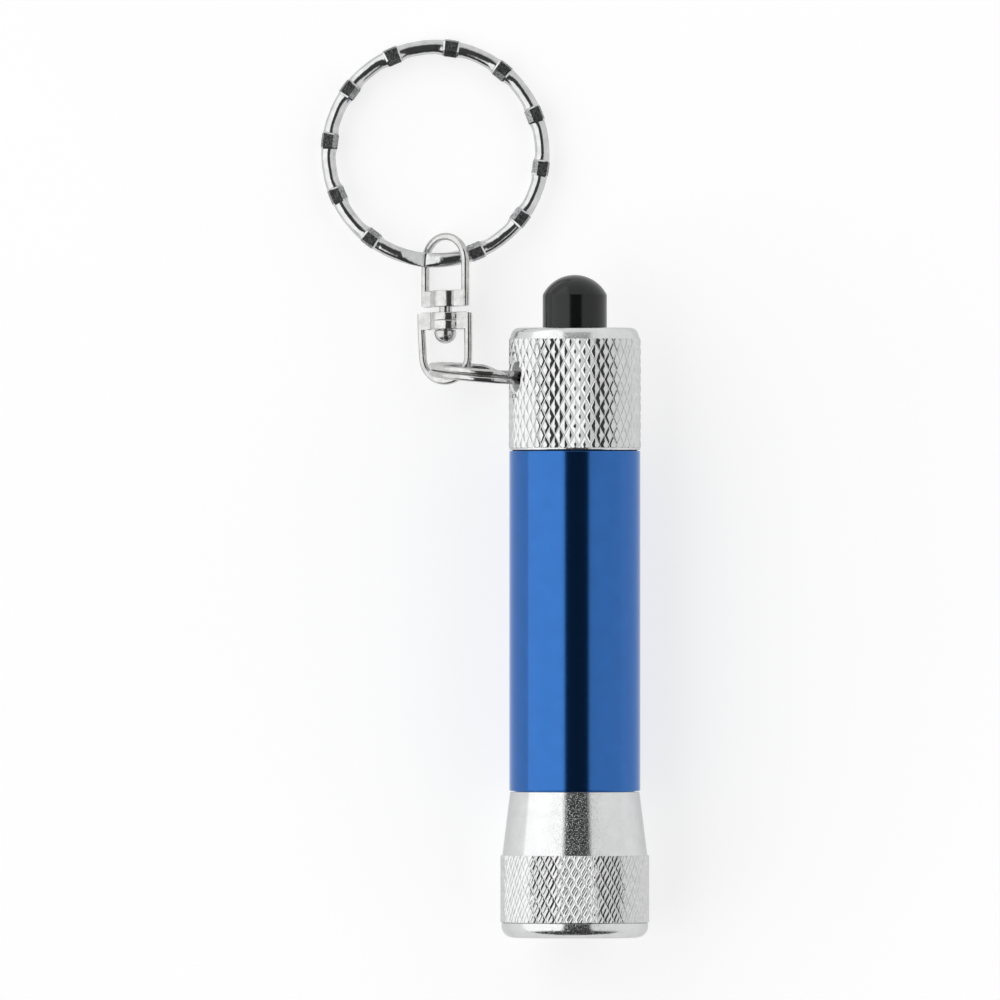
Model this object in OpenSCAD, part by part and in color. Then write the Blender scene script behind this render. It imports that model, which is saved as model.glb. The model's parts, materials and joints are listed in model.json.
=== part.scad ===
// Keychain flashlight: a button-cell LED torch with a push-button tail cap,
// a small split ring, a two-part wire swivel and a notched key ring.
// The torch lies along Y: origin at the centre of the head's front face, +Y towards the
// push button, +Z up from the surface it lies on. Millimetres.

/* [Torch] */
// Length of the head, front face to barrel
head_len = 16.1; // [15:0.1:18]
// Diameter over the head's knurled collar
collar_d = 16.5; // [16:0.1:18]
// Diameter of the head's front lip
lip_d = 16.1; // [15.8:0.1:17.5]
// Length of the bare barrel
barrel_len = 37.3; // [36:0.1:45]
// Outside diameter of the barrel
barrel_d = 14.4; // [14.2:0.1:15]
// Length of the tail cap behind the barrel
cap_len = 13.5; // [13.2:0.1:16]
// Diameter over the tail cap's knurl
cap_d = 14.5; // [14.4:0.1:15]
// Diameter of the push button
button_d = 7.07; // [6.6:0.01:7.2]
// Height of the push button above the tail cap
button_h = 5.8; // [5:0.1:7]
// Travel of the push button
button_travel = 1.4; // [1:0.1:1.4]

/* [Inside] */
// Diameter of a button cell
cell_d = 11.6; // [11.4:0.1:11.6]
// Height of a button cell
cell_h = 5.4; // [5:0.1:5.4]
// Diameter of an LED
led_d = 5; // [4.8:0.1:5]
// Radius of the circle that the LEDs sit on
led_circle_r = 3.35; // [3.35:0.01:3.4]

/* [Rings and swivel] */
// Mean radius of the small split ring
ring_r = 5.45; // [5.2:0.05:5.5]
// Wire diameter of the small split ring
ring_wire = 0.75; // [0.6:0.05:0.8]
// Wire diameter of the swivel's bails
bail_wire = 0.9; // [0.8:0.05:1]
// Half of the distance between a bail's legs, centre to centre
bail_half = 2.8; // [2.6:0.05:2.9]
// Turn of the lower bail about the swivel's axis
lower_turn = 26; // [0:1:40]
// Turn of the upper bail about the swivel's axis
upper_turn = 38.5; // [0:0.5:40]
// Outside diameter of the key ring
key_ring_d = 25.1; // [24:0.1:28]
// Thickness of the key ring's wire between its nodes
key_wire = 1.75; // [1.6:0.05:1.8]

/* [Hidden] */
$fn = 96;

eps = 0.01;

// Head: where its bands begin and end, and its bore
lip_len = 1.7;
collar_end = 9.05;
lip_round = 1.3;
cone_front_d = 16;
cone_back_d = barrel_d - 0.2;
window_d = 12;
window_len = 1;
head_bore_r = 6.65;
head_gap = 0.1;

// LED module, from the lens back to the first cell
module_r = 6.6;
gasket_len = 0.5;
gasket_in_r = 5.9;
lens_y = window_len + gasket_len;
lens_len = 1;
reflector_y = lens_y + lens_len;
reflector_len = 7.6;
well_mouth_r = 2.85;
led_hole_r = led_d / 2 + 0.05;
led_tip_y = reflector_y + 0.5;
flange_y = reflector_y + reflector_len;
flange_len = 1;
flange_r = 2.85;
board_y = 11.9;
board_len = 1;
board_r = 5.9;
lead_pitch = 2.54;
lead_r = 0.25;
lead_hole_r = 0.35;
lead_end_y = 13.6;
contact_r = 1.5;

// Barrel
barrel_y = head_len;
barrel_r = barrel_d / 2;
barrel_bore_r = 6;
barrel_end = barrel_y + barrel_len;
spigot_r = 6.6;
spigot_len = 4;
thread_pitch = 0.75;
thread_turns = 4;
thread_depth = 0.2;
oring_groove_y = barrel_y - 0.8;
oring_w = 0.6;
oring_groove_r = 6.3;

// Cells
cell_count = 4;
cell_r = cell_d / 2;
cells_y = 14.2;
cells_end = cells_y + cell_count * cell_h;
cell_cap_h = 0.5;
cell_cap_r = 4.9;
sleeve_in_r = 5.82;
sleeve_out_r = 5.96;

// Tail cap
seal_len = 0.3;
cap_y = barrel_end + seal_len;
cap_end = barrel_end + cap_len;
cap_r = cap_d / 2;
cap_round = 1.3;
cap_knurl_end = cap_end - 1.2;
cap_shoulder_r = cap_r - 0.1;
cap_bore_r = 5.4;
cap_spigot_r = 5.95;
cap_spigot_y = barrel_end - 4;
cap_wall = 2.5;
cap_floor_y = cap_end - cap_wall;
button_r = button_d / 2;
button_hole_r = button_r + 0.07;

// Push button and switch
button_flange_r = 4;
button_flange_y = cap_floor_y - 1.2;
button_flange_len = 1.15;
dome_h = 2.2;
dome_r = (button_r * button_r + dome_h * dome_h) / (2 * dome_h);
button_top = cap_end + button_h;
stem_r = 1.5;
stem_end = button_flange_y + 3;
housing_y = 41.5;
housing_end = 59.4;
housing_shoulder_y = 51.6;
housing_r = 5.38;
housing_nose_r = 4.6;
chamber_y = 46;
chamber_end = housing_end - 1.5;
chamber_r = 4.2;
stem_hole_r = 1.6;
terminal_shank_r = 1;
terminal_head_r = 2.2;
terminal_head_len = 0.6;
terminal_front_len = 0.4;
contact_gap = button_travel + 0.05;
disc_y = chamber_y + terminal_head_len + contact_gap;
disc_len = 0.6;
disc_r = 2.6;
collar_y = 51;
collar_len = 1;
collar_r = 4;
retainer_y = 50;
retainer_in_r = 4.65;

// Lanyard holes in the tail cap, and the split ring that passes through them
hole_d = 3.2;
hole_y = 61.5;
hole_spread = 24.5;
hole_start_r = 4;
// Bearing of the ring's centre, and half the angle between its crossings of the cap's surface
ring_bearing = 186;
ring_cross = 30.2;
ring_off = barrel_r * cos(ring_cross)
    + sqrt(pow(ring_r, 2) - pow(barrel_r * sin(ring_cross), 2));
ring_pos = [ring_off * cos(ring_bearing), 61.9, ring_off * sin(ring_bearing)];
ring_tilt = [3, 0, -4.5];

// Swivel: its own frame has the pin along Y and the bails in planes that hold it
swivel_pos = [-14.2, 69, -5.55];
swivel_dip = -3;
lower_bend_y = -7.99 + bail_half;
lower_block_y = -2.3;
lower_block_h = 1.9;
upper_block_y = 0.2;
upper_block_h = 1.8;
upper_bend_y = 7.95 - bail_half;
block_bulge_r = 2.9;
block_half_depth = 1.4;
pin_r = 0.73;
pin_hole_r = 0.8;
rivet_r = 1.2;
rivet_play = 0.06;

// Key ring
key_r = (key_ring_d - key_wire) / 2;
key_pos = [-15.3, 86.05, -6.54];
key_dip = -3.5;
key_node = 1.95;
key_node_arc = 8.1;
key_node_step = 30;
key_node_first = 81.5;
key_split_index = 6;

// Turns children so that their Z axis points along +Y, and moves them to y
module along_y(y = 0) {
    translate([0, y, 0]) rotate([-90, 0, 0]) children();
}

module disc(y, len, r) {
    along_y(y) cylinder(h = len, r = r);
}

module tube(y, len, r_out, r_in) {
    along_y(y) difference() {
        cylinder(h = len, r = r_out);
        translate([0, 0, -eps]) cylinder(h = len + 2 * eps, r = r_in);
    }
}

// A cylinder with one rounded end: flat at z = 0 and rounded at z = len
module round_ended(len, r, round) {
    rotate_extrude() {
        square([r, len - round]);
        square([r - round, len]);
        translate([r - round, len - round]) intersection() {
            circle(r = round);
            square(round);
        }
    }
}

// Points of one ring of a swept round wire, at t turns along a coil
function coil_centre(t, turns, r0, r1, h) =
    let (k = t / turns, r = r0 + (r1 - r0) * k)
    [r * cos(360 * t), r * sin(360 * t), h * k];

function coil_point(t, a, turns, r0, r1, h, wire_r) =
    let (
        c = coil_centre(t, turns, r0, r1, h),
        out = [cos(360 * t), sin(360 * t), 0]
    )
    c + wire_r * (cos(a) * out + sin(a) * [0, 0, 1]);

// A coil spring of round wire that rises along +Z
module coil(turns, r0, r1, h, wire_r, per_turn = 20, sides = 8) {
    steps = turns * per_turn;
    points = [
        for (i = [0:steps]) for (s = [0:sides - 1])
            coil_point(i / per_turn, -360 * s / sides, turns, r0, r1, h, wire_r)
    ];
    skin = [
        for (i = [0:steps - 1]) for (s = [0:sides - 1])
            let (a = i * sides + s, b = i * sides + (s + 1) % sides)
            each [[a, b, b + sides], [a, b + sides, a + sides]]
    ];
    start = [[for (s = [sides - 1:-1:0]) s]];
    finish = [[for (s = [0:sides - 1]) steps * sides + s]];
    polyhedron(points = points, faces = concat(skin, start, finish), convexity = 10);
}

// Places children once for each LED, about the torch's axis
module at_led(i) {
    rotate([0, 90 + 120 * i, 0]) translate([led_circle_r, 0, 0]) children();
}

module head_outside() {
    translate([0, lip_len, 0]) rotate([90, 0, 0]) round_ended(lip_len, lip_d / 2, lip_round);
    disc(lip_len, collar_end - lip_len, collar_d / 2);
    along_y(collar_end) cylinder(
        h = head_len - head_gap - collar_end,
        r1 = cone_front_d / 2,
        r2 = cone_back_d / 2
    );
}

module head_bezel() {
    color("silver") difference() {
        head_outside();
        disc(-eps, window_len + 2 * eps, window_d / 2);
        disc(window_len, head_len, head_bore_r);
    }
}

module lens() {
    color([0.85, 0.92, 0.95, 0.5]) disc(lens_y, lens_len, module_r);
}

module lens_gasket() {
    color("dimgray") tube(window_len, gasket_len, module_r, gasket_in_r);
}

module led_reflector() {
    color("gainsboro") difference() {
        disc(reflector_y, reflector_len, module_r);
        for (i = [0:2]) at_led(i) {
            disc(reflector_y - eps, reflector_len + 2 * eps, led_hole_r);
            along_y(reflector_y - eps) cylinder(h = 4, r1 = well_mouth_r, r2 = led_hole_r);
        }
    }
}

module led(i) {
    color([0.95, 0.97, 1, 0.8]) at_led(i) {
        difference() {
            translate([0, led_tip_y + led_d / 2, 0]) sphere(d = led_d);
            disc(led_tip_y + led_d / 2, led_d, led_d);
        }
        disc(led_tip_y + led_d / 2, flange_y - led_tip_y - led_d / 2, led_d / 2);
        disc(flange_y, flange_len, flange_r);
    }
}

module led_1() {
    led(0);
}

module led_2() {
    led(1);
}

module led_3() {
    led(2);
}

module at_leads() {
    for (i = [0:2]) at_led(i)
        for (side = [-1, 1]) translate([0, 0, side * lead_pitch / 2]) children();
}

module led_leads() {
    lead_y = flange_y + flange_len;
    color("lightgray") at_leads() disc(lead_y, lead_end_y - lead_y, lead_r);
}

module led_board() {
    color("darkgreen") difference() {
        disc(board_y, board_len, board_r);
        at_leads() disc(board_y - eps, board_len + 2 * eps, lead_hole_r);
    }
}

module front_contact() {
    contact_y = board_y + board_len;
    color("goldenrod") disc(contact_y, cells_y - contact_y, contact_r);
}

// One V groove of the thread round the barrel's spigot
module thread_groove(y) {
    along_y(y) rotate_extrude() polygon([
        [spigot_r - thread_depth, 0],
        [spigot_r + eps, -thread_depth],
        [spigot_r + eps, thread_depth]
    ]);
}

module barrel() {
    color("royalblue") difference() {
        union() {
            disc(barrel_y, barrel_len, barrel_r);
            disc(barrel_y - spigot_len, spigot_len + eps, spigot_r);
        }
        disc(barrel_y - spigot_len - eps, spigot_len + barrel_len + 2 * eps, barrel_bore_r);
        tube(oring_groove_y, oring_w, spigot_r + 1, oring_groove_r);
        for (i = [0:thread_turns - 1])
            thread_groove(barrel_y - spigot_len + 0.5 + i * thread_pitch);
    }
}

module head_oring() {
    color([0.1, 0.1, 0.1])
        tube(oring_groove_y, oring_w, spigot_r + 0.03, oring_groove_r + 0.01);
}

module battery_sleeve() {
    color("whitesmoke") tube(cells_y, cells_end - cells_y, sleeve_out_r, sleeve_in_r);
}

module cell(i) {
    y = cells_y + i * cell_h;
    color("gray") {
        disc(y, cell_cap_h, cell_cap_r);
        disc(y + cell_cap_h - eps, cell_h - cell_cap_h + eps, cell_r);
    }
}

module cell_1() {
    cell(0);
}

module cell_2() {
    cell(1);
}

module cell_3() {
    cell(2);
}

module cell_4() {
    cell(3);
}

module battery_spring() {
    wire_r = 0.25;
    room = housing_y - terminal_front_len - cells_end;
    color("lightsteelblue") along_y(cells_end + wire_r)
        coil(4, 4.4, 2.1, room - 2 * wire_r, wire_r);
}

module tail_cap() {
    color("silver") difference() {
        union() {
            disc(cap_y, cap_knurl_end - cap_y, cap_r);
            along_y(cap_y) round_ended(cap_end - cap_y, cap_shoulder_r, cap_round);
            disc(cap_spigot_y, cap_y - cap_spigot_y + eps, cap_spigot_r);
        }
        disc(cap_spigot_y - eps, cap_floor_y - cap_spigot_y + eps, cap_bore_r);
        disc(cap_floor_y - eps, cap_wall + 2 * eps, button_hole_r);
        for (side = [-1, 1]) translate([0, hole_y, 0])
            rotate([0, -(ring_bearing + side * hole_spread), 0])
                translate([hole_start_r, 0, 0]) rotate([0, 90, 0])
                    cylinder(h = cap_r, d = hole_d);
    }
}

module tail_oring() {
    color([0.1, 0.1, 0.1]) tube(barrel_end, seal_len, barrel_r - 0.2, cap_spigot_r + 0.05);
}

module push_button() {
    len = button_top - button_flange_y;
    color([0.06, 0.06, 0.06]) along_y(button_flange_y) rotate_extrude() difference() {
        union() {
            intersection() {
                square([button_r, len]);
                union() {
                    square([button_r, len - dome_h]);
                    translate([0, len - dome_r]) circle(r = dome_r);
                }
            }
            square([button_flange_r, button_flange_len]);
        }
        square([stem_r + 0.02, stem_end - button_flange_y]);
    }
}

module switch_housing() {
    color([0.15, 0.15, 0.16]) difference() {
        union() {
            disc(housing_y, housing_end - housing_y, housing_nose_r);
            disc(housing_shoulder_y, housing_end - housing_shoulder_y, housing_r);
        }
        disc(chamber_y, chamber_end - chamber_y, chamber_r);
        disc(housing_y - eps, chamber_y - housing_y + 2 * eps, terminal_shank_r + 0.02);
        disc(chamber_end - eps, housing_end - chamber_end + 2 * eps, stem_hole_r);
    }
}

module switch_terminal() {
    color("goldenrod") {
        disc(housing_y - terminal_front_len, terminal_front_len, terminal_head_r);
        disc(housing_y - eps, chamber_y - housing_y + 2 * eps, terminal_shank_r);
        disc(chamber_y, terminal_head_len, terminal_head_r);
    }
}

module switch_retainer() {
    color("darkgoldenrod")
        tube(retainer_y, housing_shoulder_y - retainer_y, housing_r, retainer_in_r);
}

module switch_plunger() {
    color("ivory") {
        disc(disc_y + disc_len, stem_end - disc_y - disc_len, stem_r);
        disc(collar_y, collar_len, collar_r);
    }
}

module switch_contact() {
    color("goldenrod") disc(disc_y, disc_len, disc_r);
}

module switch_spring() {
    wire_r = 0.18;
    color("lightsteelblue") along_y(chamber_y + wire_r)
        coil(5, 3.5, 3.5, collar_y - chamber_y - 2 * wire_r, wire_r);
}

// Two turns of wire, side by side along the ring's axis
module split_ring() {
    color("lightsteelblue") translate(ring_pos) rotate(ring_tilt) along_y()
        rotate_extrude() translate([ring_r, 0]) {
            for (side = [-1, 1]) translate([0, side * ring_wire / 2]) circle(d = ring_wire);
            square([ring_wire / 2, ring_wire], center = true);
        }
}

module swivel_frame(turn = 0) {
    translate(swivel_pos) rotate([swivel_dip, 0, 0]) rotate([0, -turn, 0]) children();
}

// Bulged collar that joins the two legs of a bail, with its faces bowed front and back
module bail_block(y, h) {
    off = block_bulge_r - block_half_depth;
    along_y(y) intersection() {
        translate([0, -off, 0]) cylinder(h = h, r = block_bulge_r);
        translate([0, off, 0]) cylinder(h = h, r = block_bulge_r);
    }
}

// A bail's two legs and the half circle that joins them, towards the sign of bend_y
module bail_loop(far_y, bend_y) {
    for (side = [-1, 1]) translate([side * bail_half, min(far_y, bend_y), 0])
        rotate([-90, 0, 0]) cylinder(h = abs(bend_y - far_y), d = bail_wire);
    translate([0, bend_y, 0]) rotate_extrude(angle = 180, start = bend_y > 0 ? 0 : 180)
        translate([bail_half, 0]) circle(d = bail_wire);
}

module lower_bail() {
    color("lightgray") swivel_frame(lower_turn) {
        difference() {
            bail_block(lower_block_y, lower_block_h);
            disc(lower_block_y - 1, lower_block_h + 2, pin_hole_r);
        }
        bail_loop(lower_block_y + lower_block_h, lower_bend_y);
    }
}

module swivel_pin() {
    rivet_h = 1.5;
    cap_sphere_r = (rivet_r * rivet_r + rivet_h * rivet_h) / (2 * rivet_h);
    head_y = lower_block_y - rivet_play;
    pin_end = upper_block_y + upper_block_h;
    color("gray") swivel_frame(upper_turn) {
        disc(head_y - eps, pin_end - head_y + eps, pin_r);
        intersection() {
            translate([0, head_y - rivet_h + cap_sphere_r, 0]) sphere(r = cap_sphere_r);
            disc(head_y - rivet_h, rivet_h, rivet_r);
        }
    }
}

module upper_bail() {
    color("lightgray") swivel_frame(upper_turn) {
        difference() {
            bail_block(upper_block_y, upper_block_h);
            disc(upper_block_y - 1, upper_block_h + 2, pin_r + 0.01);
        }
        bail_loop(upper_block_y, upper_bend_y);
    }
}

// A ring of round wire with faceted nodes; the node at the ring's split is left out
module key_ring() {
    color("silver") translate(key_pos) rotate([key_dip, 0, 0]) {
        rotate_extrude() translate([key_r, 0]) circle(d = key_wire);
        for (i = [0:11]) if (i != key_split_index)
            rotate([0, 0, key_node_first - i * key_node_step - key_node_arc / 2])
                rotate_extrude(angle = key_node_arc) translate([key_r, 0])
                    rotate(22.5) circle(d = key_node / cos(22.5), $fn = 8);
    }
}

head_bezel();
lens();
lens_gasket();
led_reflector();
led_1();
led_2();
led_3();
led_leads();
led_board();
front_contact();
barrel();
head_oring();
battery_sleeve();
cell_1();
cell_2();
cell_3();
cell_4();
battery_spring();
tail_cap();
tail_oring();
switch_housing();
switch_terminal();
switch_retainer();
push_button();
switch_plunger();
switch_contact();
switch_spring();
split_ring();
lower_bail();
swivel_pin();
upper_bail();
key_ring();
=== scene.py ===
"""Looks of the keychain flashlight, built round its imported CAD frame.

Lengths are in mm until a mesh is made. The torch lies along +Y, from its window to its button."""

import json
from math import acos, atan2, cos, hypot, pi, radians, sin, sqrt, tan

import bmesh
import bpy
import numpy as np
from mathutils import Matrix, Vector


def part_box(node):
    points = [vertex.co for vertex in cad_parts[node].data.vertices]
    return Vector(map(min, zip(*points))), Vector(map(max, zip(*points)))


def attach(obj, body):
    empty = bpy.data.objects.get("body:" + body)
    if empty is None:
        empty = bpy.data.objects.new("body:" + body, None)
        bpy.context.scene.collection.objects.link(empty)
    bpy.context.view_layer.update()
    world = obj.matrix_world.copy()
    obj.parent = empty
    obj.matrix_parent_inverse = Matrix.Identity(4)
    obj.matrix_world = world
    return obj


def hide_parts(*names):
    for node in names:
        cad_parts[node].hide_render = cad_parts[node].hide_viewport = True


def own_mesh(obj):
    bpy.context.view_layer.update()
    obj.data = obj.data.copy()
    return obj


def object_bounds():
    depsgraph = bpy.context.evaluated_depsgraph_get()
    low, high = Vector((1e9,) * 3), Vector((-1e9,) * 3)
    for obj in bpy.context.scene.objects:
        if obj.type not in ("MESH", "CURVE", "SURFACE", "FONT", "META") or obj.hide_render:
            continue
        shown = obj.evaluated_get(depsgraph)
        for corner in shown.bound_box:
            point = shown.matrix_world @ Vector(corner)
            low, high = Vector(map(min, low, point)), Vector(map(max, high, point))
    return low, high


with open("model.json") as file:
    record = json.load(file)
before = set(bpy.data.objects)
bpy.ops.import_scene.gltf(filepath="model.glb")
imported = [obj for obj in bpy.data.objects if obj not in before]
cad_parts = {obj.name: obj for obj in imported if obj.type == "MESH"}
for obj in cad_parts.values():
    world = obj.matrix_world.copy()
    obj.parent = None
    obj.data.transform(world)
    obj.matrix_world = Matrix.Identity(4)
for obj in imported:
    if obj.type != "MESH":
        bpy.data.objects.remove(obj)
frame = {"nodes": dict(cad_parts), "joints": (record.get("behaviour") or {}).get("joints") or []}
cad_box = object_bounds()

MM = 0.001
ROUND_SIDES = 192
# Points closer than this, in mm, become one where separately made stretches of a skin meet
MERGE = 2e-4
scene = bpy.context.scene


def box_mm(node):
    """Lowest and highest corner of a CAD node, in mm."""
    lo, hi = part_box(node)
    return lo / MM, hi / MM


def joint(name):
    """A joint's entry in the frame."""
    return next(j for j in frame["joints"] if j["name"] == name)


# ---------------------------------------------------------------- mesh helpers


def arc(centre, radius, start, end, steps):
    """Points of an arc, with its angles in degrees."""
    turns = [radians(start + (end - start) * i / steps) for i in range(steps + 1)]
    return [(centre[0] + radius * cos(a), centre[1] + radius * sin(a)) for a in turns]


def rounded(corners, steps=5, closed=True):
    """An outline through corners, each (x, y) or (x, y, fillet radius)."""
    out, count = [], len(corners)
    for i, corner in enumerate(corners):
        p = Vector(corner[:2])
        radius = corner[2] if len(corner) > 2 else 0
        if radius == 0 or (not closed and i in (0, count - 1)):
            out.append(tuple(p))
            continue
        a = (Vector(corners[i - 1][:2]) - p).normalized()
        b = (Vector(corners[(i + 1) % count][:2]) - p).normalized()
        half = acos(max(-1, min(1, a.dot(b)))) / 2
        centre = p + (a + b).normalized() * radius / sin(half)
        start, end = p + a * radius / tan(half) - centre, p + b * radius / tan(half) - centre
        for k in range(steps + 1):
            way = start.lerp(end, k / steps)
            out.append(tuple(centre + way.normalized() * radius))
    return out


def grid_faces(rows, columns, loop_rows=False, loop_columns=True):
    """Quads of a grid of points, row by row."""
    faces = []
    for i in range(rows if loop_rows else rows - 1):
        for j in range(columns if loop_columns else columns - 1):
            a, b = i * columns, (i + 1) % rows * columns
            k = (j + 1) % columns
            faces.append((a + j, a + k, b + k, b + j))
    return faces


def new_bmesh(points, faces):
    """A bmesh of points, and of faces given by the points' numbers."""
    bm = bmesh.new()
    made = [bm.verts.new(p) for p in points]
    for face in faces:
        bm.faces.new([made[i] for i in face])
    return bm


def lathe(outline, sides=ROUND_SIDES, closed=True):
    """A bmesh turned about the Y axis from an outline of (radius, y)."""
    turns = [2 * pi * i / sides for i in range(sides)]
    points = [(r * cos(a), y, r * sin(a)) for r, y in outline for a in turns]
    bm = new_bmesh(points, grid_faces(len(outline), sides, loop_rows=closed))
    bmesh.ops.remove_doubles(bm, verts=bm.verts, dist=1e-5)
    return bm


def skin(rings, fill_ends=True):
    """A bmesh through rings of points, with its ends filled."""
    count = len(rings[0])
    faces = grid_faces(len(rings), count)
    if fill_ends:
        last = (len(rings) - 1) * count
        faces += [tuple(reversed(range(count))), tuple(range(last, last + count))]
    return new_bmesh([p for ring in rings for p in ring], faces)


def wire_ring(coil_r, wire_r, y, turn, sides):
    """A round wire's outline at a height and an angle, in radians, of a coil about the Y axis."""
    ring = []
    for k in range(sides):
        b = 2 * pi * k / sides
        r = coil_r + wire_r * cos(b)
        ring.append((r * cos(turn), y + wire_r * sin(b), -r * sin(turn)))
    return ring


def move(bm, matrix):
    """Moves a bmesh, and returns it."""
    bmesh.ops.transform(bm, matrix=matrix, verts=bm.verts)
    return bm


def to_mesh(bm, name):
    """Turns a bmesh in mm into a mesh in metres, with its faces outwards."""
    bmesh.ops.recalc_face_normals(bm, faces=bm.faces)
    bmesh.ops.scale(bm, vec=(MM, MM, MM), verts=bm.verts)
    mesh = bpy.data.meshes.new(name)
    bm.to_mesh(mesh)
    bm.free()
    return mesh


def new_object(name, mesh):
    """An object in the scene."""
    obj = bpy.data.objects.new(name, mesh)
    scene.collection.objects.link(obj)
    return obj


def combine(obj, other, operation):
    """Applies an exact boolean with another object, which goes."""
    cut = obj.modifiers.new("cut", "BOOLEAN")
    cut.operation, cut.object, cut.solver = operation, other, "EXACT"
    graph = bpy.context.evaluated_depsgraph_get()
    result = bpy.data.meshes.new_from_object(obj.evaluated_get(graph))
    obj.modifiers.remove(cut)
    old, obj.data = obj.data, result
    bpy.data.meshes.remove(old)
    bpy.data.objects.remove(other)


def finish_piece(obj, body, materials, replaces=(), sharp=38):
    """Shades a piece, gives it its materials and fixes it to its CAD body."""
    mesh = obj.data
    for material in materials:
        mesh.materials.append(material)
    mesh.shade_smooth()
    mesh.set_sharp_from_angle(angle=radians(sharp))
    even = obj.modifiers.new("even_normals", "WEIGHTED_NORMAL")
    even.keep_sharp = True
    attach(obj, body)
    if replaces:
        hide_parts(*replaces)
    return obj


def piece(name, bm, body, materials, replaces=(), sharp=38):
    """A finished piece from a bmesh in mm."""
    return finish_piece(new_object(name, to_mesh(bm, name)), body, materials, replaces, sharp)


def smooth(x):
    """0 up to 0, 1 from 1 on, and smooth between."""
    x = min(max(x, 0.0), 1.0)
    return x * x * (3 - 2 * x)


# ---------------------------------------------------------------- materials


def add_node(tree, kind, inputs=None, **settings):
    """A shader node, with each input linked or set."""
    made = tree.nodes.new(kind)
    for key, value in settings.items():
        setattr(made, key, value)
    for key, value in (inputs or {}).items():
        if isinstance(value, bpy.types.NodeSocket):
            tree.links.new(value, made.inputs[key])
        else:
            made.inputs[key].default_value = value
    return made


def noise(tree, place, per_mm, stretch=(1, 1, 1), detail=2.0, kind="noise"):
    """A texture's value, at a scale in cells per mm: soft noise, its peaks alone as specks, or cells."""
    peaks = (0.58, 0.76)
    scaled = add_node(
        tree, "ShaderNodeMapping", {"Vector": place, "Scale": [s * per_mm / MM for s in stretch]}
    )
    if kind == "cells":
        made = add_node(tree, "ShaderNodeTexVoronoi", {"Vector": scaled.outputs[0], "Scale": 1.0})
        return made.outputs["Distance"]
    made = add_node(
        tree, "ShaderNodeTexNoise", {"Vector": scaled.outputs[0], "Scale": 1.0, "Detail": detail}
    )
    if kind == "specks":
        return blend_range(tree, made.outputs[0], 0.0, 1.0, peaks)
    return made.outputs[0]


def blend_range(tree, value, low, high, at=(0.3, 0.7)):
    """A value stretched from the range at to the range from low to high."""
    made = add_node(
        tree,
        "ShaderNodeMapRange",
        {"Value": value, "From Min": at[0], "From Max": at[1], "To Min": low, "To Max": high},
    )
    return made.outputs[0]


def surface(name, colours, rough, bumps=(), patches=0.5, rough_grain=3.0, **sockets):
    """A procedural material. colours are two ends of its variation, rough the least and most
    roughness, bumps are (cells per mm, height in mm, stretch, kind), and sockets are fixed values."""
    material = bpy.data.materials.new(name)
    material.use_nodes = True
    tree = material.node_tree
    shader = tree.nodes["Principled BSDF"]
    place = add_node(tree, "ShaderNodeTexCoord").outputs["Object"]
    share = blend_range(tree, noise(tree, place, patches, detail=4.0), 0.0, 1.0)
    mix = add_node(
        tree,
        "ShaderNodeMix",
        {"Factor": share, "A": (*colours[0], 1.0), "B": (*colours[1], 1.0)},
        data_type="RGBA",
    )
    tree.links.new(mix.outputs[2], shader.inputs["Base Color"])
    wear = noise(tree, place, rough_grain, detail=3.0)
    tree.links.new(blend_range(tree, wear, *rough), shader.inputs["Roughness"])
    normal = None
    for per_mm, height, stretch, kind in bumps:
        relief = noise(tree, place, per_mm, stretch, kind=kind)
        inputs = {"Height": relief, "Distance": height * MM, "Strength": 1.0}
        if normal is not None:
            inputs["Normal"] = normal
        normal = add_node(tree, "ShaderNodeBump", inputs).outputs[0]
    if normal is not None:
        tree.links.new(normal, shader.inputs["Normal"])
    for key, value in sockets.items():
        shader.inputs[key.replace("_", " ")].default_value = value
    return material


# Stretches of a texture: none, lines round the torch's axis, and lines along it
EVEN = (1, 1, 1)
TURNED = (0.15, 1, 0.15)
DRAWN = (1, 0.05, 1)

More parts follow.
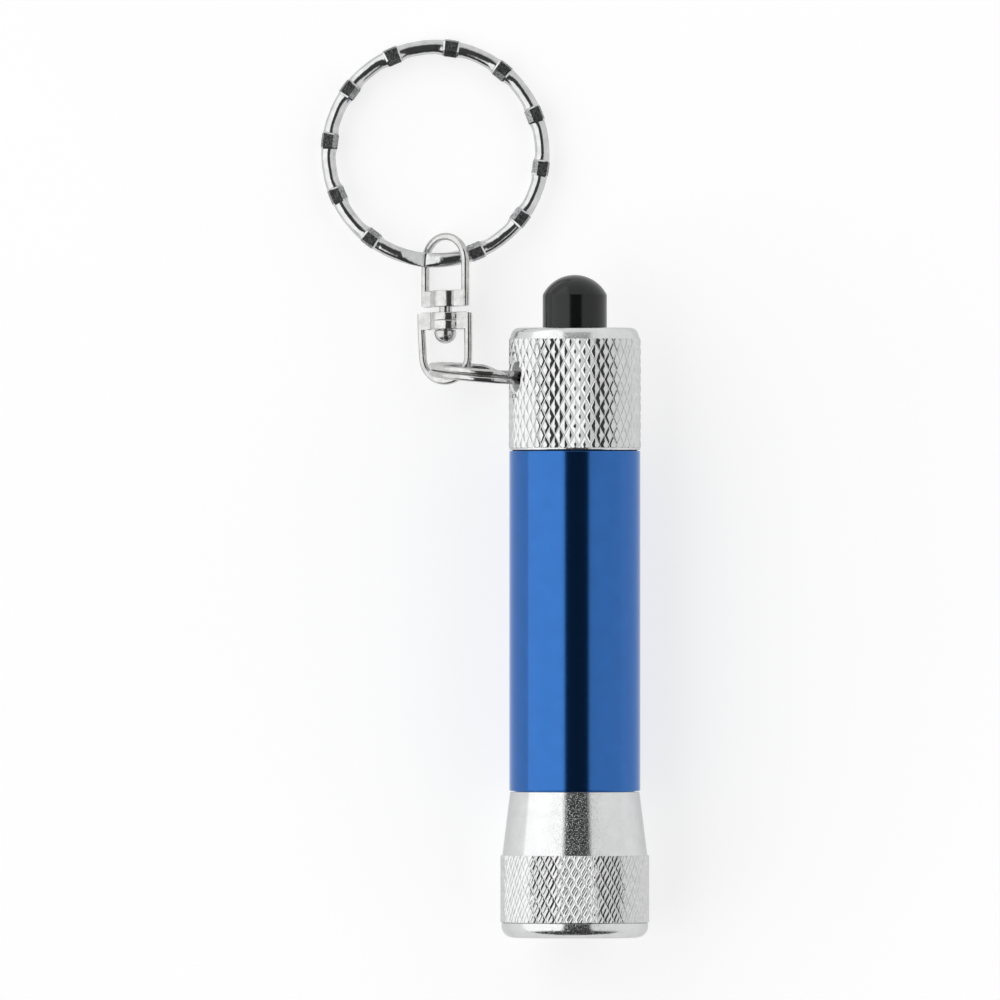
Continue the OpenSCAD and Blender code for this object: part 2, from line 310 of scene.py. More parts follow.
# The arguments of surface() for every material, by the record's slot name or by a name of its own
LOOKS = {
    "satin_aluminium": dict(
        colours=((0.63, 0.635, 0.64), (0.69, 0.695, 0.695)),
        rough=(0.06, 0.09),
        bumps=[(9.0, 0.0125, EVEN, "specks"), (10.0, 0.004, EVEN, "noise"), (7.0, 0.001, TURNED, "noise")],
        Specular_Tint=(0.80, 0.80, 0.80, 1.0),
        Metallic=1.0,
    ),
    "knurled_aluminium": dict(
        colours=((0.56, 0.565, 0.57), (0.66, 0.66, 0.66)),
        rough=(0.05, 0.08),
        bumps=[(4.0, 0.005, EVEN, "noise"), (10.0, 0.003, EVEN, "noise")],
        patches=1.5,
        Specular_Tint=(0.80, 0.80, 0.80, 1.0),
        Metallic=1.0,
    ),
    "drilled_aluminium": dict(
        colours=((0.72, 0.72, 0.72), (0.92, 0.92, 0.915)),
        rough=(0.30, 0.42),
        bumps=[(6.0, 0.010, EVEN, "noise")],
        patches=2.0,
        Metallic=0.3,
    ),
    "blue_anodised": dict(
        colours=((0.006, 0.100, 0.36), (0.008, 0.110, 0.39)),
        rough=(0.13, 0.17),
        bumps=[(5.0, 0.0010, DRAWN, "noise"), (6.0, 0.0008, EVEN, "noise")],
        Coat_Weight=0.55,
        Coat_IOR=1.55,
        Coat_Roughness=0.08,
        Specular_Tint=(0.55, 0.70, 0.95, 1.0),
        Metallic=1.0,
    ),
    "button_black": dict(
        colours=((0.003, 0.0035, 0.004), (0.006, 0.0065, 0.007)),
        rough=(0.12, 0.18),
        bumps=[(6.0, 0.0015, EVEN, "noise"), (0.8, 0.004, EVEN, "noise")],
        IOR=1.42,
    ),
    "nickel_wire": dict(
        colours=((0.44, 0.44, 0.435), (0.60, 0.60, 0.595)),
        rough=(0.10, 0.18),
        bumps=[(2.2, 0.020, EVEN, "noise"), (8.0, 0.0025, EVEN, "noise")],
        patches=1.0,
        Metallic=1.0,
    ),
    "nickel_ring": dict(
        colours=((0.50, 0.505, 0.51), (0.64, 0.64, 0.64)),
        rough=(0.10, 0.17),
        bumps=[(1.4, 0.022, EVEN, "noise"), (7.0, 0.0025, EVEN, "noise")],
        patches=1.0,
        Metallic=1.0,
    ),
    # The nodes' cut faces: nickel with a rougher finish, and a darker colour that is painted shade
    "nickel_cut": dict(
        colours=((0.14, 0.145, 0.15), (0.40, 0.40, 0.405)),
        rough=(0.24, 0.32),
        bumps=[(5.0, 0.022, EVEN, "noise"), (9.0, 0.010, EVEN, "noise")],
        patches=4.0,
        Metallic=1.0,
    ),
    "clear_window": dict(
        colours=((0.98, 0.99, 1.0), (1.0, 1.0, 1.0)),
        rough=(0.01, 0.03),
        bumps=[(0.5, 0.0006, EVEN, "noise")],
        Transmission_Weight=1.0,
        IOR=1.49,
    ),
    "led_epoxy": dict(
        colours=((0.95, 0.97, 1.0), (0.99, 1.0, 1.0)),
        rough=(0.02, 0.05),
        bumps=[(0.8, 0.001, EVEN, "noise")],
        Transmission_Weight=1.0,
        IOR=1.52,
    ),
    "phosphor": dict(
        colours=((0.80, 0.62, 0.06), (0.92, 0.78, 0.14)),
        rough=(0.45, 0.6),
        bumps=[(12.0, 0.004, EVEN, "noise")],
        patches=6.0,
    ),
    "reflector_plate": dict(
        colours=((0.90, 0.905, 0.91), (0.95, 0.95, 0.95)),
        rough=(0.20, 0.28),
        bumps=[(1.5, 0.003, EVEN, "noise")],
        Metallic=0.5,
    ),
    "black_rubber": dict(
        colours=((0.016, 0.016, 0.017), (0.03, 0.03, 0.03)),
        rough=(0.5, 0.65),
        bumps=[(10.0, 0.004, EVEN, "noise")],
    ),
    "tinned_wire": dict(
        colours=((0.66, 0.66, 0.65), (0.78, 0.78, 0.77)),
        rough=(0.2, 0.32),
        bumps=[(6.0, 0.003, EVEN, "noise")],
        Metallic=1.0,
    ),
    "board_laminate": dict(
        colours=((0.010, 0.10, 0.035), (0.018, 0.15, 0.05)),
        rough=(0.28, 0.4),
        bumps=[(3.0, 0.003, EVEN, "cells")],
        patches=2.0,
        Coat_Weight=0.4,
    ),
    "contact_brass": dict(
        colours=((0.62, 0.44, 0.17), (0.80, 0.60, 0.28)),
        rough=(0.2, 0.36),
        bumps=[(5.0, 0.003, TURNED, "noise")],
        Metallic=1.0,
    ),
    "shrink_film": dict(
        colours=((0.74, 0.76, 0.78), (0.84, 0.85, 0.86)),
        rough=(0.25, 0.36),
        bumps=[(0.7, 0.012, EVEN, "noise")],
        Subsurface_Weight=0.1,
    ),
    "cell_steel": dict(
        colours=((0.60, 0.59, 0.57), (0.72, 0.71, 0.69)),
        rough=(0.18, 0.3),
        bumps=[(8.0, 0.002, TURNED, "noise")],
        Metallic=1.0,
    ),
    "spring_steel": dict(
        colours=((0.50, 0.51, 0.53), (0.66, 0.67, 0.68)),
        rough=(0.2, 0.32),
        bumps=[(6.0, 0.003, EVEN, "noise")],
        Metallic=1.0,
    ),
    "switch_nylon": dict(
        colours=((0.020, 0.020, 0.022), (0.035, 0.035, 0.037)),
        rough=(0.4, 0.55),
        bumps=[(7.0, 0.004, EVEN, "noise")],
    ),
    "plunger_acetal": dict(
        colours=((0.74, 0.71, 0.62), (0.82, 0.79, 0.71)),
        rough=(0.3, 0.42),
        bumps=[(6.0, 0.003, EVEN, "noise")],
        Subsurface_Weight=0.15,
    ),
    "paper_floor": dict(
        colours=((0.40, 0.40, 0.40), (0.42, 0.42, 0.42)),
        rough=(0.85, 0.95),
        bumps=[(1.2, 0.004, EVEN, "noise")],
        patches=0.01,
        Specular_IOR_Level=0.1,
        Emission_Color=(1.0, 1.0, 1.0, 1.0),
        Emission_Strength=0.69,
    ),
}


# ---------------------------------------------------------------- knurled bodies

# Height of every diamond, and how many lie round each band
DIAMOND = 2.04
HEAD_DIAMONDS = 46
CAP_DIAMONDS = 40
# How much diamonds differ in height, and in slope each way, as shares of their height
UNEVEN = (0.03, 0.10, 0.10)
# Cross-sections of one diamond: how far across each crease lies, and its share of the full height
PLAIN_TRACK = (
    (0, 0), (0.03, 0.05), (0.11, 0.36), (0.22, 0.64), (0.33, 0.86), (0.44, 1),
    (0.56, 1), (0.67, 0.86), (0.78, 0.64), (0.89, 0.36), (0.97, 0.05), (1, 0),
)
LONG_TRACK = (
    (0, 0), (0.03, 0.06), (0.10, 0.45), (0.18, 0.80), (0.26, 0.96), (0.40, 1),
    (0.60, 1), (0.74, 0.96), (0.82, 0.80), (0.90, 0.45), (0.97, 0.06), (1, 0),
)
DOUBLE_TRACK = (
    (0, 0), (0.03, 0.06), (0.12, 0.50), (0.20, 0.85), (0.30, 0.88), (0.37, 0.70), (0.45, 0.30),
    (0.53, 0.28), (0.60, 0.66), (0.67, 0.95), (0.79, 0.92), (0.88, 0.50), (0.97, 0.06), (1, 0),
)


def knurl_cell(i, j, across, track_a, track_b, lift):
    """Points (share of a turn, share of DIAMOND, relief) of the diamond i, j, row by row."""
    points = []
    for s, high_a in track_a:
        for t, high_b in track_b:
            relief = min(high_a, high_b)
            if 0 < s < 1 and 0 < t < 1:
                relief *= 1 + lift[0] + lift[1] * (s - 0.5) + lift[2] * (t - 0.5)
            points.append(((i + s + j + t) / (2 * across), (i + s - j - t) / 2, relief))
    return points


def facet(corner, high):
    """A grid cell's faces: one where its corners' heights agree, or two that meet along its crease."""
    rise, other_rise = abs(high[0] - high[2]), abs(high[1] - high[3])
    if rise < 0.01 and other_rise < 0.01:
        return [corner]
    if rise > other_rise:
        return [corner[:3], [corner[2], corner[3], corner[0]]]
    return [corner[1:], [corner[3], corner[0], corner[1]]]


def trim_band(bm, radius, y0, y1, chamfer):
    """Cuts a knurled band off at both ends, and bevels its crests there."""
    for y, side in ((y0, -1), (y1, 1)):
        for level, clear in ((y, True), (y - side * chamfer, False)):
            bmesh.ops.bisect_plane(
                bm,
                geom=bm.verts[:] + bm.edges[:] + bm.faces[:],
                plane_co=(0, level, 0),
                plane_no=(0, side, 0),
                clear_outer=clear,
                dist=1e-4,
            )
    for v in bm.verts:
        edge = min(v.co.y - y0, y1 - v.co.y)
        r = hypot(v.co.x, v.co.z)
        most = radius - max(0.0, chamfer - edge)
        if r > most:
            v.co.x *= most / r
            v.co.z *= most / r


def knurl_band(radius, depth, y0, y1, across, track_a, track_b, seed, chamfer):
    """The skin of a knurled band, open at both ends, with across diamonds all round."""
    rng = np.random.default_rng(seed)
    rows, columns = len(track_a), len(track_b)
    first, last = int(2 * y0 / DIAMOND) - 2, int(2 * y1 / DIAMOND) + 2
    points, faces = [], []
    for level in range(first, last + 1):
        for j in range(across):
            lift = rng.normal(0, UNEVEN)
            base = len(points)
            cell = knurl_cell(j + level, j, across, track_a, track_b, lift)
            for turn, up, relief in cell:
                r = radius - depth * (1 - min(1.0, relief))
                points.append((r * sin(2 * pi * turn), DIAMOND * up, r * cos(2 * pi * turn)))
            for a, b, c, d in grid_faces(rows, columns, loop_columns=False):
                high = [cell[k][2] for k in (a, b, c, d)]
                faces += facet([base + k for k in (a, b, c, d)], high)
    bm = new_bmesh(points, faces)
    bmesh.ops.remove_doubles(bm, verts=bm.verts, dist=MERGE)
    trim_band(bm, radius, y0, y1, chamfer)
    return bm


def close_band(bm, outline, y0, y1):
    """Joins a knurled band to the lathed rest of its body, whose open outline runs from y1 round to y0."""
    ends = {}
    for y in (y0, y1):
        loop = {v for e in bm.edges if e.is_boundary for v in e.verts if abs(v.co.y - y) < 1e-3}
        ends[y] = sorted(loop, key=lambda v: atan2(v.co.z, v.co.x))
    turns = [2 * pi * i / ROUND_SIDES - pi for i in range(ROUND_SIDES)]
    rings = [[bm.verts.new((r * cos(a), y, r * sin(a))) for a in turns] for r, y in outline]
    for low, high in zip(rings, rings[1:]):
        for j in range(ROUND_SIDES):
            k = (j + 1) % ROUND_SIDES
            bm.faces.new((low[j], low[k], high[k], high[j]))
    for loop, ring in ((ends[y1], rings[0]), (ends[y0], rings[-1])):
        zip_loops(bm, loop, ring)


def zip_loops(bm, loop, ring):
    """Fills between two loops that are both sorted by angle."""
    a_turn = [atan2(v.co.z, v.co.x) for v in loop]
    b_turn = [atan2(v.co.z, v.co.x) for v in ring]
    a_turn.append(a_turn[0] + 2 * pi)
    b_turn.append(b_turn[0] + 2 * pi)
    i = j = 0
    while i < len(loop) or j < len(ring):
        a, b = loop[i % len(loop)], ring[j % len(ring)]
        if j >= len(ring) or (i < len(loop) and a_turn[i + 1] <= b_turn[j + 1]):
            bm.faces.new((a, loop[(i + 1) % len(loop)], b))
            i += 1
        else:
            bm.faces.new((a, ring[(j + 1) % len(ring)], b))
            j += 1


def mark_knurl(obj, root, y0, y1):
    """Gives the faces of a band, from the diamonds' root outwards, the second material."""
    margin = 0.05
    for face in obj.data.polygons:
        x, y, z = face.center / MM
        if y0 < y < y1 and hypot(x, z) > root - margin:
            face.material_index = 1


def build_head(materials):
    """The head: a rounded lip round the window, a knurled band, and a cone down to the barrel."""
    lo, hi = box_mm("head_bezel")
    crest, depth, chamfer = 8.17, 0.115, 0.06
    window_r = 6.0
    window_len = 1.0
    lip_r = 8.05
    lip_end = lo.y + 1.7
    lip_round = 1.3
    groove = 0.1
    band_end = lo.y + 9.05
    cone_r = 7.97
    cone_end_r = 7.1
    bore_r = 6.65
    lead_in = 0.15
    outline = rounded(
        [
            (cone_r, band_end),
            (cone_end_r, hi.y, 0.04),
            (bore_r + lead_in, hi.y, 0.05),
            (bore_r, hi.y - 0.2),
            (bore_r, lo.y + window_len, 0.05),
            (window_r, lo.y + window_len, 0.1),
            (window_r, lo.y, 0.15),
            (lip_r, lo.y, lip_round),
            (lip_r, lip_end - 0.12, 0.1),
            (lip_r - groove, lip_end),
        ],
        steps=10,
        closed=False,
    )
    tracks = (LONG_TRACK, DOUBLE_TRACK)
    bm = knurl_band(crest, depth, lip_end, band_end, HEAD_DIAMONDS, *tracks, 11, chamfer)
    close_band(bm, outline, lip_end, band_end)
    obj = new_object("head_shell", to_mesh(bm, "head_shell"))
    mark_knurl(obj, crest - depth, lip_end, band_end)
    looks = [materials["satin_aluminium"], materials["knurled_aluminium"]]
    return finish_piece(obj, "head", looks, ["head_bezel"], sharp=13)


# Bearing midway between the two lanyard holes, how far each is from it, and their height on the cap
LANYARD_BEARING = 186.0
LANYARD_SPREAD = 24.5
LANYARD_Y = 61.5


def lanyard_cutter(bearing, outside_r):
    """A drill with a countersink, pointing out of the cap at a bearing in its cross-section."""
    hole_r, mouth_r, sink = 1.68, 2.14, 0.5
    ledge, ledge_rise = 0.25, 0.12
    within, beyond = 4, 9
    outline = [
        (0, within),
        (hole_r, within),
        (hole_r, outside_r - sink),
        (hole_r + ledge, outside_r - sink + ledge_rise),
        (mouth_r, outside_r + 0.1),
        (mouth_r, beyond),
        (0, beyond),
    ]
    bm = lathe(outline, sides=64, closed=False)
    turn = Matrix.Rotation(radians(-bearing), 4, "Y") @ Matrix.Rotation(radians(-90), 4, "Z")
    move(bm, Matrix.Translation((0, LANYARD_Y, 0)) @ turn)
    return new_object("cutter", to_mesh(bm, "cutter"))


def mark_holes(obj, bore_r, radius):
    """Gives the walls of the lanyard holes, from the bore out to the knurl, the third material."""
    reach, margin, knurl = 1.9, 0.01, 0.18
    for face in obj.data.polygons:
        x, y, z = face.center / MM
        inside = bore_r + margin < hypot(x, z) < radius - knurl
        if inside and abs(y - LANYARD_Y) < reach and abs(face.normal.y) < 0.999 and x < 0:
            face.material_index = 2


def build_cap(materials):
    """The tail cap: a knurled band with a rounded shoulder, a spigot, and two lanyard holes."""
    lo, hi = box_mm("tail_cap")
    radius = (hi.x - lo.x) / 2
    seat_y = box_mm("tail_oring")[1].y
    skirt_y = box_mm("tail_oring")[0].y + 0.08
    knurl_end = hi.y - 1.2
    shoulder_r = radius - 0.1
    shoulder_lean = 0.42
    bore_r = 5.4
    spigot_r = 5.95
    seam_r = radius - 0.36
    skirt_r = radius - 0.04
    floor_y = hi.y - 2.5
    hole_r = 3.605
    outline = rounded(
        [
            (shoulder_r, knurl_end),
            (shoulder_r - shoulder_lean, hi.y, 0.85),
            (hole_r, hi.y, 0.12),
            (hole_r, floor_y),
            (bore_r, floor_y, 0.1),
            (bore_r, lo.y, 0.1),
            (spigot_r, lo.y, 0.15),
            (spigot_r, seat_y),
            (seam_r, seat_y),
            (seam_r, skirt_y),
            (skirt_r - 0.08, skirt_y, 0.05),
            (skirt_r, skirt_y + 0.1, 0.05),
            (skirt_r, seat_y + 0.02),
        ],
        steps=10,
        closed=False,
    )
    depth, chamfer = 0.165, 0.1
    tracks = (PLAIN_TRACK, PLAIN_TRACK)
    bm = knurl_band(radius, depth, seat_y, knurl_end, CAP_DIAMONDS, *tracks, 5, chamfer)
    close_band(bm, outline, seat_y, knurl_end)
    obj = new_object("cap_shell", to_mesh(bm, "cap_shell"))
    for side in (-1, 1):
        combine(obj, lanyard_cutter(LANYARD_BEARING + side * LANYARD_SPREAD, radius), "DIFFERENCE")
    mark_knurl(obj, radius - depth, seat_y, knurl_end)
    mark_holes(obj, bore_r, radius)
    looks = [materials[k] for k in ("satin_aluminium", "knurled_aluminium", "drilled_aluminium")]
    return finish_piece(obj, "torch_body", looks, ["tail_cap"], sharp=13)


# ---------------------------------------------------------------- barrel, button and seals


def thread_rows(radius, y0, y1, pitch, depth, sides):
    """Rings of a helical V thread between y0 and y1, running out to the plain radius at both ends."""
    profile = ((0, 0), (0.12, 0), (0.44, 1), (0.56, 1), (0.88, 0))
    run_out = 0.35
    rows = []
    for turn in range(-1, int((y1 - y0) / pitch) + 2):
        for share, deep in profile:
            ring = []
            for i in range(sides + 1):
                y = min(max(y0 + pitch * (turn + share + i / sides), y0), y1)
                fade = min(1.0, (y - y0) / run_out, (y1 - y) / run_out)
                r = radius - depth * deep * fade
                a = 2 * pi * i / sides
                ring.append((r * cos(a), y, r * sin(a)))
            rows.append(ring)
    return rows


def build_barrel(materials):
    """The barrel, with a seal groove and a real thread on its spigot."""
    lo, hi = box_mm("barrel")
    radius = (hi.x - lo.x) / 2
    shoulder = box_mm("head_bezel")[1].y + 0.1
    seal_lo, seal_hi = box_mm("head_oring")
    spigot_r = 6.6
    groove_r = 6.3
    bore_r = 6.0
    lead_in = 0.2
    pitch, thread_depth = 0.75, 0.22
    thread = (lo.y + 0.25, seal_lo.y - 0.15)
    outline = rounded(
        [
            (spigot_r, thread[1]),
            (spigot_r, seal_lo.y, 0.04),
            (groove_r, seal_lo.y),
            (groove_r, seal_hi.y),
            (spigot_r, seal_hi.y, 0.04),
            (spigot_r, shoulder),
            (radius, shoulder, 0.12),
            (radius, hi.y, 0.12),
            (bore_r, hi.y, 0.1),
            (bore_r, lo.y, 0.05),
            (spigot_r - lead_in, lo.y),
            (spigot_r, lo.y + lead_in),
            (spigot_r, thread[0]),
        ],
        steps=6,
        closed=False,
    )
    bm = lathe(outline, closed=False)
    rows = thread_rows(spigot_r, *thread, pitch, thread_depth, ROUND_SIDES)
    for row, after in zip(rows, rows[1:]):
        made = [[bm.verts.new(p) for p in ring] for ring in (row, after)]
        for i in range(ROUND_SIDES):
            bm.faces.new((made[0][i], made[0][i + 1], made[1][i + 1], made[1][i]))
    bmesh.ops.remove_doubles(bm, verts=bm.verts, dist=MERGE)
    return piece("barrel_tube", bm, "torch_body", [materials["blue_anodised"]], ["barrel"])


def build_button(materials):
    """The push button: a domed post, a flange that stays in the cap, and a socket for the plunger."""
    lo, hi = box_mm("push_button")
    flange_r = (hi.x - lo.x) / 2
    radius = 3.535
    dome_h = 2.2
    flange_y = lo.y + 1.15
    socket_r = 1.52
    socket_end = lo.y + 3
    sphere_r = (radius**2 + dome_h**2) / (2 * dome_h)
    edge = sqrt(sphere_r**2 - radius**2)
    reach = 90 - np.degrees(atan2(edge, radius))
    dome = arc((0, hi.y - sphere_r), sphere_r, 90, 90 - reach, 14)
    outline = rounded(
        [
            *dome[:-1],
            (*dome[-1], 0.35),
            (radius, flange_y, 0.05),
            (flange_r, flange_y, 0.1),
            (flange_r, lo.y, 0.1),
            (socket_r, lo.y, 0.1),
            (socket_r, socket_end),
            (0, socket_end),
        ],
        closed=False,
    )
    bm = lathe(outline, sides=128, closed=False)
    return piece("button_cap", bm, "button", [materials["button_black"]], ["push_button"])


def build_switch_spring(materials):
    """The switch's return spring, with closed ends, fixed to the button's body."""
    lo, hi = box_mm("switch_spring")
    wire_r, turns, closed_pitch = 0.18, 5, 0.42
    sides, steps = 10, 40
    coil_r = (hi.x - lo.x) / 2 - wire_r
    open_pitch = (hi.y - lo.y - 2 * wire_r - 2 * closed_pitch) / (turns - 2)
    rings = []
    for i in range(turns * steps + 1):
        t = i / steps
        closed_turns = min(t, 1) + max(t - turns + 1, 0)
        open_turns = min(max(t - 1, 0), turns - 2)
        y = lo.y + wire_r + closed_pitch * closed_turns + open_pitch * open_turns
        rings.append(wire_ring(coil_r, wire_r, y, 2 * pi * t, sides))
    look = [materials["spring_steel"]]
    obj = piece("switch_coil", skin(rings), "button", look, ["switch_spring"])
    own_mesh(obj)


# Each seal's piece name, CAD node, body, inner radius, and how far it sits in from the node's outside
SEALS = (
    ("tail_seal_ring", "tail_oring", "torch_body", 6.0, 0.12),
    ("head_seal_ring", "head_oring", "torch_body", 6.31, 0.0),
    ("window_seal_ring", "lens_gasket", "head", 5.9, 0.0),
)


def build_seal(name, node, body, inner, inset, materials):
    """A rubber ring with soft edges, in the place of a plain one."""
    lo, hi = box_mm(node)
    outer = (hi.x - lo.x) / 2 - inset
    roundness = 0.35
    soft = min(hi.y - lo.y, outer - inner) * roundness
    outline = rounded(
        [(inner, lo.y, soft / 2), (outer, lo.y, soft), (outer, hi.y, soft), (inner, hi.y, soft / 2)]
    )
    bm = lathe(outline, sides=128)
    return piece(name, bm, body, [materials["black_rubber"]], [node])


# ---------------------------------------------------------------- lens and LEDs


def build_lens(materials):
    """The clear window."""
    lo, hi = box_mm("lens")
    radius = (hi.x - lo.x) / 2
    outline = rounded([(0, lo.y), (radius, lo.y, 0.12), (radius, hi.y, 0.12), (0, hi.y)], closed=False)
    bm = lathe(outline, sides=128, closed=False)
    return piece("front_window", bm, "head", [materials["clear_window"]], ["lens"])


def led_outlines(front, back, flange_r):
    """Outlines of a 5 mm LED's clear body, lead-frame cup and phosphor, from its front to its back."""
    radius, flange = 2.5, 1.0
    cup_y, cup_deep, cup_h, cup_floor_r, cup_r = front + 3.2, 0.45, 1.2, 0.30, 0.58
    post_r, post_end = 0.36, back - 0.3
    body = [
        *arc((0, front + radius), radius, -90, 0, 16),
        (radius, back - flange, 0.1),
        (flange_r, back - flange, 0.15),
        (flange_r, back, 0.15),
        (0, back),
    ]
    cup = [
        (0, cup_y + cup_deep),
        (cup_floor_r, cup_y + cup_deep),
        (cup_r, cup_y, 0.03),
        (cup_r + 0.14, cup_y, 0.03),
        (cup_r + 0.12, cup_y + cup_h),
        (post_r, post_end),
        (0, post_end),
    ]
    phosphor = [
        (0, cup_y + 0.10),
        (cup_r - 0.09, cup_y + 0.12, 0.04),
        (cup_floor_r, cup_y + cup_deep - 0.04),
        (0, cup_y + cup_deep - 0.03),
    ]
    return body, cup, phosphor


def build_led(index, materials):
    """An LED's clear body, and the cup and phosphor cast into it."""
    node = f"led_{index}"
    lo, hi = box_mm(node)
    place = Matrix.Translation(((hi.x + lo.x) / 2, 0, (hi.z + lo.z) / 2))
    outlines = led_outlines(lo.y, hi.y, (hi.x - lo.x) / 2)
    kinds = (
        ("led_lens", "led_epoxy", "led_epoxy", 96, [node]),
        ("led_cup", "tinned_wire", "tinned_wire", 64, []),
        ("led_phosphor", "led_epoxy", "phosphor", 48, []),
    )
    for outline, (kind, slot, look, sides, replaces) in zip(outlines, kinds):
        bm = move(lathe(rounded(outline, closed=False), sides, closed=False), place)
        piece(f"{kind}_{index}", bm, "led_module", [materials[look]], replaces)


# ---------------------------------------------------------------- rings

KEY_CENTRE = (-15.3, 86.05, -6.54)
KEY_DIP = -3.5
KEY_RADIUS = 11.675
# Bearings round the key ring, clockwise from +Y: its nodes, the coils' ends, and the bend beside them
KEY_NODES = (8.5, 38.9, 68.7, 98.0, 127.3, 157.5, 217.1, 246.9, 276.7, 306.5, 336.3)
KEY_SPLIT = 185.0
KEY_KINK = 202.0
KEY_END = KEY_SPLIT + 720
# How many points an outline of the wire has
SECTION = 48
# An offset that stands for any place well away from a node, and the half length of a node's cut face
FAR = 9.0
NODE_FACE = 0.70
# Corners of the upper half of a node's faceted outline: index round the section, outwards, upwards
NODE_HALF = (
    (0, 0.93, 0.0), (5, 0.93, 0.56), (9, 0.74, 0.90),
    (16, -0.32, 0.93), (21, -0.93, 0.46), (24, -0.93, 0.0),
)
NODE_CORNERS = NODE_HALF + tuple((SECTION - i, u, -w) for i, u, w in reversed(NODE_HALF[:-1]))


def node_outline():
    """The faceted outline, as SECTION points of (outwards, upwards) about a whole turn."""
    points = []
    for start, end in zip(NODE_CORNERS, NODE_CORNERS[1:]):
        steps = end[0] - start[0]
        for k in range(steps):
            share = k / steps
            points.append([a + (b - a) * share for a, b in zip(start[1:], end[1:])])
    return np.array(points)


def key_section(offset, facets):
    """Outline of the key ring's pair of coils at a distance along the wire from its nearest node."""
    turn = np.arange(SECTION) * 2 * pi / SECTION
    plain, flare, rim, half, outermost = 0.80, 1.85, 0.875, 0.92, 0.875
    swell, edge_drop, edge_run = 2.2, 0.10, 0.20
    share = min(max((flare - abs(offset)) / (flare - half), 0), 1)
    radius = plain + (rim - plain) * share**swell
    circle = np.stack([outermost - radius + radius * np.cos(turn), radius * np.sin(turn)], 1)
    if abs(offset) < half - 0.01:
        return facets * (1 - edge_drop * smooth((abs(offset) - NODE_FACE) / edge_run))
    return circle


def key_offsets():
    """Distances along the wire from a node's centre at which a section is needed."""
    right = [0.3, 0.58, 0.70, 0.80, 0.90, 0.92, 0.96, 1.04, 1.14, 1.26, 1.42, 1.62, 1.85, 2.1]
    return [-x for x in reversed(right)] + [0.0] + right


def key_stations():
    """(bearing along the coil, distance to its node) from the lower coil's end to the upper one's."""
    start, least_gap = KEY_KINK + 3, 0.08
    degree = KEY_RADIUS * pi / 180
    found = []
    for turn in range(3):
        for bearing in KEY_NODES:
            for offset in key_offsets():
                found.append((bearing + 360 * turn + offset / degree, offset))
        for edge in (-0.3, 0.3):
            found.append((KEY_SPLIT + 360 * turn + edge, FAR))
        for middle in (KEY_SPLIT, (KEY_SPLIT + KEY_KINK) / 2, KEY_KINK):
            for i in range(-4, 5):
                found.append((middle + 360 * turn + i * 2.2, FAR))
        for bearing in np.arange(0, 360, 30) + 23.7:
            found.append((bearing + 360 * turn, FAR))
    found = sorted(f for f in found if start < f[0] < KEY_END)
    kept = []
    for f in found:
        if kept and f[0] - kept[-1][0] < least_gap:
            continue
        kept.append(f)
    return kept


def coil_outline(bearing, offset, facets):
    """One coil's half of the pair's outline: the lower half before the crossing and the upper after it,
    where it thins towards the coil's end."""
    seam, crossing_gap, flat_top = 0.02, 0.25, 0.4
    rise_from, rise_to = KEY_SPLIT + 360, KEY_KINK + 357
    ramp, worn = 9.0, 0.5
    lift = min(max((bearing - rise_from) / (rise_to - rise_from), 0), 1)
    low = crossing_gap if 0 < lift < 1 else seam
    outline = key_section(offset, facets).copy()
    up = outline[:, 1]
    broad = np.sign(up) * np.abs(up) ** (flat_top + (1 - flat_top) * lift)
    outline[:, 1] = lift * np.maximum(broad, seam) + (1 - lift) * np.minimum(up, -low)
    outline[:, 1] *= 1 - worn * min(max((bearing - KEY_END + ramp) / ramp, 0), 1)
    return outline


def build_key_ring(materials):
    """The key ring's two coils as one wire, with its nodes' cut faces in a second, darker material whose
    darkness is painted shade.
    """
    facets = node_outline()
    stations = key_stations()
    rounding = ((0.42, 0.55), (0.36, 0.82), (0.2, 0.95))
    path = [(stations[0][0] - d, FAR, scale) for d, scale in rounding]
    path += [(bearing, offset, 1.0) for bearing, offset in stations]
    path += [(stations[-1][0] + d, FAR, scale) for d, scale in reversed(rounding)]
    rings, on_face = [], []
    for bearing, offset, scale in path:
        outline = coil_outline(bearing, offset, facets)
        centre = outline.mean(0)
        outline = centre + (outline - centre) * scale
        a = radians(90 - bearing)
        rings.append([((KEY_RADIUS + u) * cos(a), (KEY_RADIUS + u) * sin(a), w) for u, w in outline])
        on_face.append(abs(offset) < NODE_FACE + 0.01)
    bm = skin(rings)
    # Faces on the nodes' cut faces take the darker nickel, which is painted shade
    bm.faces.ensure_lookup_table()
    for i in range(len(rings) - 1):
        if on_face[i] and on_face[i + 1]:
            for j in range(SECTION):
                bm.faces[i * SECTION + j].material_index = 1
    move(bm, Matrix.Translation(KEY_CENTRE) @ Matrix.Rotation(radians(KEY_DIP), 4, "X"))
    looks = [materials["nickel_ring"], materials["nickel_cut"]]
    return piece("key_ring_coil", bm, "key_ring", looks, ["key_ring"], sharp=24)


SPLIT_CENTRE = (-10.239, 61.9, -1.076)
SPLIT_TILT = (3.0, -4.5)
SPLIT_RADIUS = 5.45
SPLIT_WIRE = 0.75


